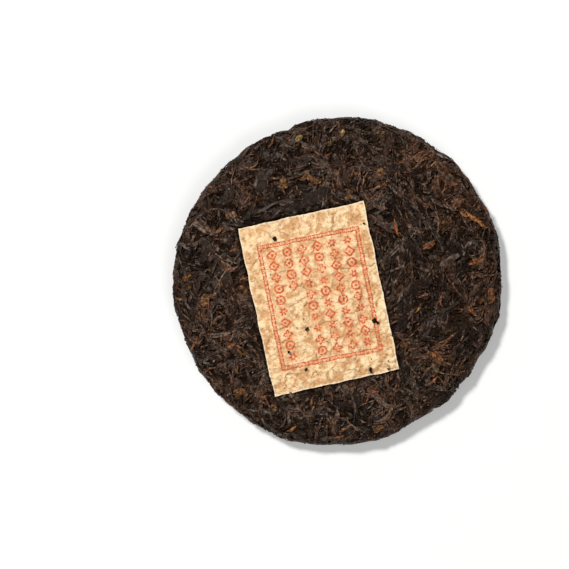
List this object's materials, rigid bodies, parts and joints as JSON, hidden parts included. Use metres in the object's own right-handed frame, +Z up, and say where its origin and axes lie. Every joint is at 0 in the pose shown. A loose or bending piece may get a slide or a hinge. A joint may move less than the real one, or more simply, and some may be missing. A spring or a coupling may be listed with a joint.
{
  "type": "pressed tea cake",
  "caption": "Small round cake of pressed dark ripe tea leaves, with a domed face, a dimple underneath, and a paper ticket pressed into the face.",
  "frame": {"origin": "under the middle of the cake's box, on the surface that it rests on", "axes": "+Z up through the thickness, out of the face with the ticket; +X and +Y in the plane of the face, with the ticket's upper edge towards +Y"},
  "size_m": [0.1108, 0.1108, 0.0151],
  "materials": {
    "tea_leaf": "matt pressed fermented tea leaf, dark brown, with a faint waxy sheen",
    "ticket_paper": "matt handmade paper, tan, printed in faded red"
  },
  "bodies": {
    "root": {"tea_cake": "tea_leaf", "paper_ticket": "ticket_paper"}
  },
  "joints": []
}
